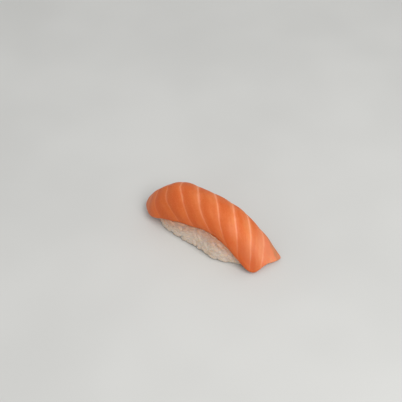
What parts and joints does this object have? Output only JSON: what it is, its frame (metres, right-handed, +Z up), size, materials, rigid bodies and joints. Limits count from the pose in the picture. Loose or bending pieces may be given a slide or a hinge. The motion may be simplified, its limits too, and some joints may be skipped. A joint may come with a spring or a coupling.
{
  "type": "salmon nigiri sushi",
  "caption": "Nigiri sushi: a pressed oblong block of white rice under a draped slice of raw salmon with slanting fat lines and a thin flap at its end.",
  "frame": {"origin": "on the surface that the rice stands on, under the middle of the whole piece", "axes": "+X along the slice towards its thin flap, -Y towards the side where more of the rice shows, +Z up"},
  "size_m": [0.0848, 0.0289, 0.0269],
  "materials": {
    "salmon": "moist raw salmon, soft gloss, orange with pale slanting fat lines",
    "rice": "cooked short-grain rice, warm white, slightly translucent and sticky"
  },
  "bodies": {
    "root": {"salmon_slice": "salmon", "rice_block": "rice"}
  },
  "joints": []
}
